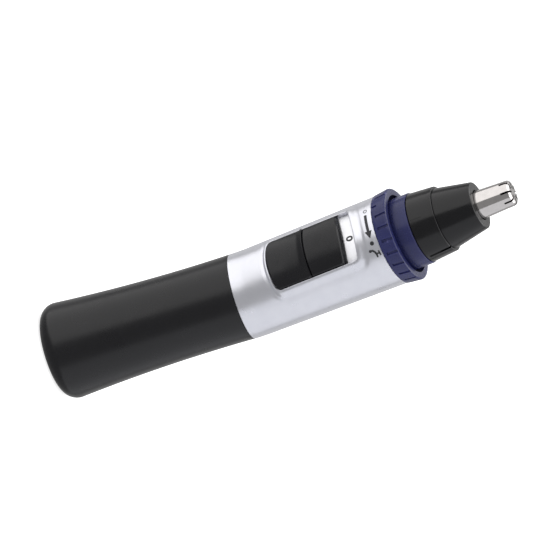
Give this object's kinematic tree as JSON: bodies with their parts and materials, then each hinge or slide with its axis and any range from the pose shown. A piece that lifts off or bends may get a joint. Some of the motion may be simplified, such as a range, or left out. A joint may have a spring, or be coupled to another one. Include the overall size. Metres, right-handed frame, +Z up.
{
  "type": "nose hair trimmer",
  "caption": "Battery nose hair trimmer: curved grip with slide switch, cleaning ring, lift-off blade block and spinning cutter in a slitted steel tube.",
  "frame": {"origin": "centre of the flat base that the trimmer stands on", "axes": "+Z up along the grip's axis, -Y towards the switch, +X to the right seen from the switch side"},
  "size_m": [0.0246, 0.0307, 0.1241],
  "materials": {
    "grip_black": "soft-touch matt",
    "housing_silver": "satin silver paint on plastic",
    "inset_white": "satin",
    "button_black": "fine satin",
    "ring_blue": "satin",
    "head_black": "satin",
    "blade_steel": "polished stainless",
    "spring_steel": "bright wire",
    "motor_steel": "zinc plated",
    "magnet_ferrite": "dark ferrite",
    "winding_copper": "copper",
    "contact_brass": "satin",
    "seal_rubber": "matt",
    "inner_plastic": "moulded",
    "inner_white": "moulded acetal",
    "cell_jacket": "printed film without lettering",
    "cell_can": "nickel plated"
  },
  "bodies": {
    "housing": {"main_housing": "housing_silver", "cover_seal": "seal_rubber", "battery_cradle": "inner_plastic", "battery_cell": "cell_jacket", "battery_cap": "cell_can", "positive_contact": "contact_brass", "negative_spring": "spring_steel", "negative_strip": "contact_brass", "switch_inset": "inset_white", "switch_gasket": "seal_rubber", "supply_contact": "contact_brass", "motor_contact": "contact_brass", "detent_leaf": "spring_steel", "motor_holder": "inner_plastic", "motor_can": "motor_steel", "motor_magnets": "magnet_ferrite", "motor_end_cap": "inner_white", "motor_bushes": "contact_brass", "motor_brushes": "winding_copper", "motor_terminals": "contact_brass", "motor_screws": "spring_steel", "head_mount": "inner_plastic", "head_mount_screws": "spring_steel", "shaft_seal": "seal_rubber", "ring_seals": "seal_rubber", "ring_retainer": "spring_steel", "ring_detent_ball": "spring_steel", "ring_detent_spring": "spring_steel"},
    "battery_cover": {"battery_cover": "grip_black"},
    "switch": {"switch_button": "button_black", "switch_carrier": "inner_plastic", "moving_contact": "winding_copper"},
    "cleaning_ring": {"cleaning_ring": "ring_blue"},
    "rotor": {"motor_shaft": "spring_steel", "rotor_core": "motor_steel", "rotor_windings": "winding_copper", "commutator": "winding_copper", "drive_coupling": "inner_white"},
    "blade_block": {"head_base": "head_black", "nose_cone": "head_black", "shaft_bearing": "contact_brass", "blade_retainer": "inner_white", "outer_blade": "blade_steel"},
    "inner_blade": {"inner_blade": "blade_steel", "blade_shaft": "inner_white", "blade_spring": "spring_steel"}
  },
  "joints": [
    {"name": "cover_pull", "type": "slide", "parent": "housing", "child": "battery_cover", "axis": [0, 0, -1], "range_m": [0, 0.05]},
    {"name": "switch_slide", "type": "slide", "parent": "housing", "child": "switch", "axis": [0, -0.1564, 0.9877], "range_m": [0, 0.003]},
    {"name": "ring_turn", "type": "hinge", "parent": "housing", "child": "cleaning_ring", "pos_m": [0, 0, 0.05305], "axis": [0, -0.1564, 0.9877], "range_deg": [0, 45]},
    {"name": "rotor_spin", "type": "hinge", "parent": "housing", "child": "rotor", "pos_m": [0, 0, 0.05305], "axis": [0, -0.1564, 0.9877], "continuous": true},
    {"name": "blade_block_lift", "type": "slide", "parent": "housing", "child": "blade_block", "axis": [0, -0.1564, 0.9877], "range_m": [0, 0.02]},
    {"name": "inner_blade_spin", "type": "hinge", "parent": "blade_block", "child": "inner_blade", "pos_m": [0, 0, 0.05305], "axis": [0, -0.1564, 0.9877], "continuous": true}
  ],
  "couplings": [
    {"joint": "inner_blade_spin", "follows": "rotor_spin", "ratio": 1}
  ]
}
